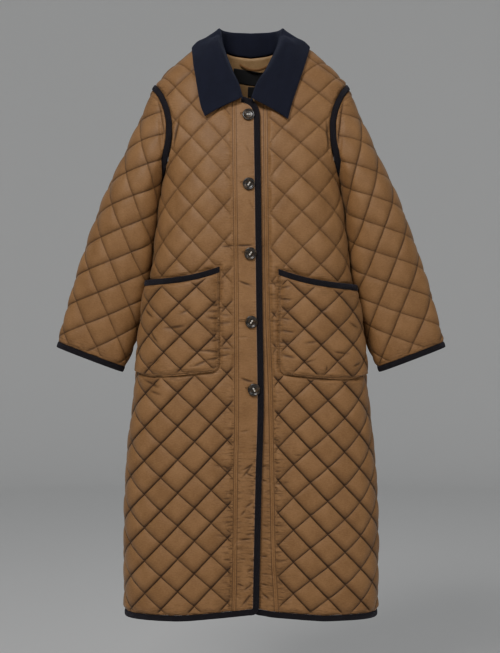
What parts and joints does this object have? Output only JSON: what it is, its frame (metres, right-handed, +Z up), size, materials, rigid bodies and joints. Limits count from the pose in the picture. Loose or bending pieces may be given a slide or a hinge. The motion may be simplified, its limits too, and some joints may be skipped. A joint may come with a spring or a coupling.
{
  "type": "long quilted coat",
  "caption": "Knee-length diamond-quilted coat with corded turn-down collar, buttoned front, patch pockets and bound edges, filled out as worn with open neck, sleeves and hem",
  "frame": {"origin": "middle of the shoulders at the height of the neck's side points, where the wearer's shoulders hold the coat up", "axes": "+Z up along the coat's length, +X towards the wearer's left, -Y out of the front"},
  "size_m": [0.8094, 0.2497, 1.2191],
  "materials": {
    "quilted_satin": "brown polyester satin, diamond-quilted over thin wadding, soft sheen",
    "plain_satin": "the same brown satin, not quilted",
    "collar_cord": "navy fine-wale corduroy, matt",
    "navy_tape": "near-black navy bias tape, matt",
    "horn": "dark horn-like polyester, glossy with a raised rim",
    "label_black": "black woven label, bare"
  },
  "bodies": {
    "root": {"back": "quilted_satin", "front_right": "quilted_satin", "front_left": "quilted_satin", "placket_right": "plain_satin", "placket_left": "plain_satin", "sleeve_right": "quilted_satin", "sleeve_left": "quilted_satin", "collar": "collar_cord", "pocket_right": "quilted_satin", "pocket_left": "quilted_satin", "pocket_binding_right": "navy_tape", "pocket_binding_left": "navy_tape", "armhole_binding_right": "navy_tape", "armhole_binding_left": "navy_tape", "cuff_binding_right": "navy_tape", "cuff_binding_left": "navy_tape", "edge_binding_right": "navy_tape", "edge_binding_left": "navy_tape", "hem_binding_back": "navy_tape", "button_1": "horn", "button_2": "horn", "button_3": "horn", "button_4": "horn", "button_5": "horn", "hanger_loop": "plain_satin", "neck_label": "label_black", "size_tab": "label_black"}
  },
  "joints": []
}
